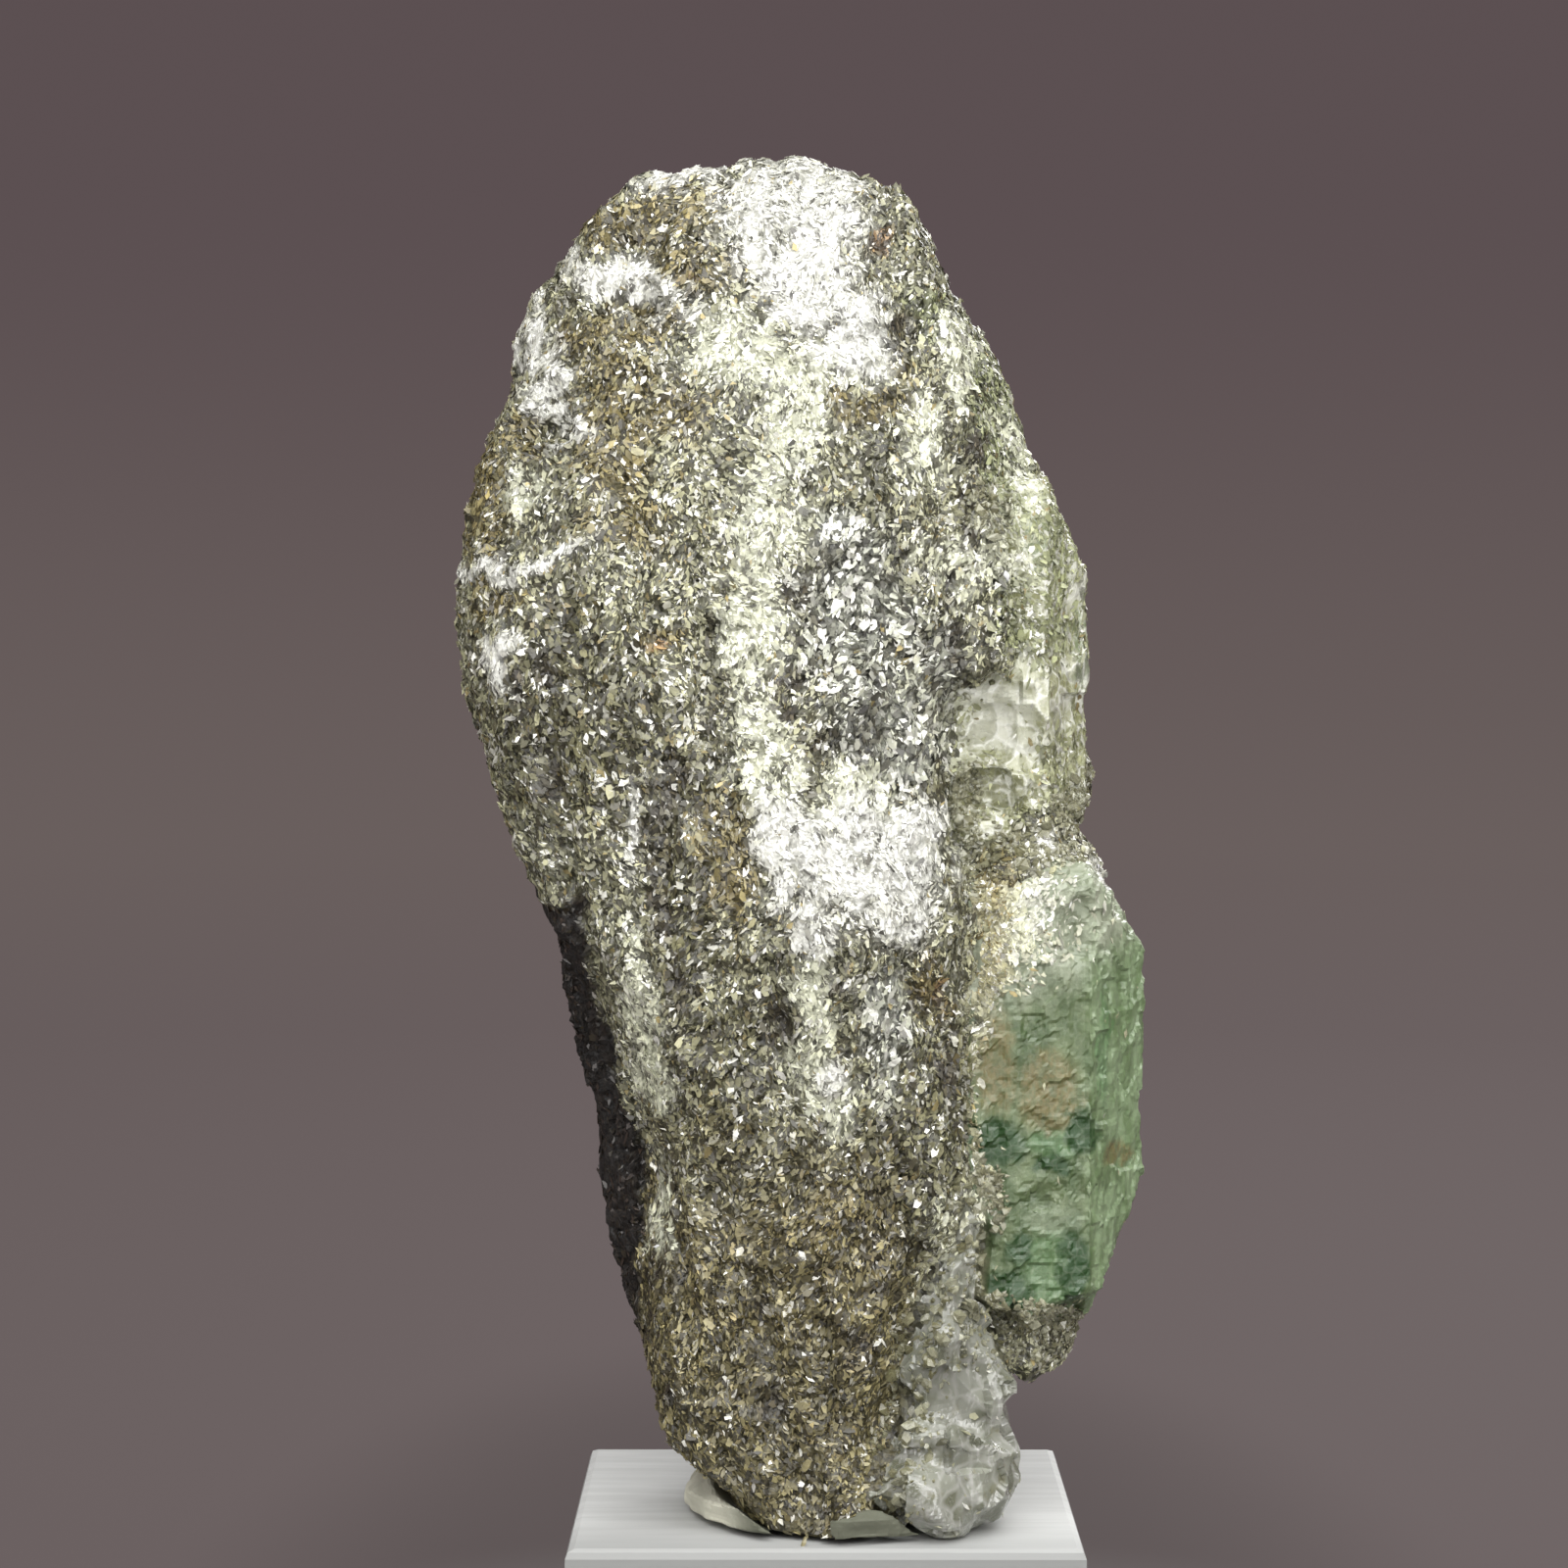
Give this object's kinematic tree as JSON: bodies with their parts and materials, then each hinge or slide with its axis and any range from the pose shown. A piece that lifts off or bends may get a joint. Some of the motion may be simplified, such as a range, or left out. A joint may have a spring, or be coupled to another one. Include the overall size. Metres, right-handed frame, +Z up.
{
  "type": "emerald in matrix",
  "caption": "Mineral hand specimen on a square display block: a green emerald prism and paler beryl in glittering mica schist with quartz, set upright in a pad of putty.",
  "frame": {"origin": "centre of the display block's underside, on the surface that it stands on", "axes": "+Z up along the specimen, -Y towards the viewer of its display side, +X to that viewer's right, on the emerald's side"},
  "size_m": [0.0551, 0.0407, 0.1237],
  "materials": {
    "block": "satin white, with fine scuffs and bright softened edges",
    "putty": "matt off-white, hand-pressed",
    "schist": "glittering mica flakes in olive, golden brown and silver-white, with dark gaps between them",
    "emerald": "cloudy green crystal with vertical striations and tan stains",
    "pale_beryl": "cloudy grey-green crystal with broken plates",
    "quartz": "cloudy grey-white, glassy on its broken faces"
  },
  "bodies": {
    "root": {"display_block": "block", "mounting_putty": "putty", "schist_matrix": "schist", "emerald_crystal": "emerald", "pale_beryl_crystal": "pale_beryl", "quartz_mass": "quartz"}
  },
  "joints": []
}
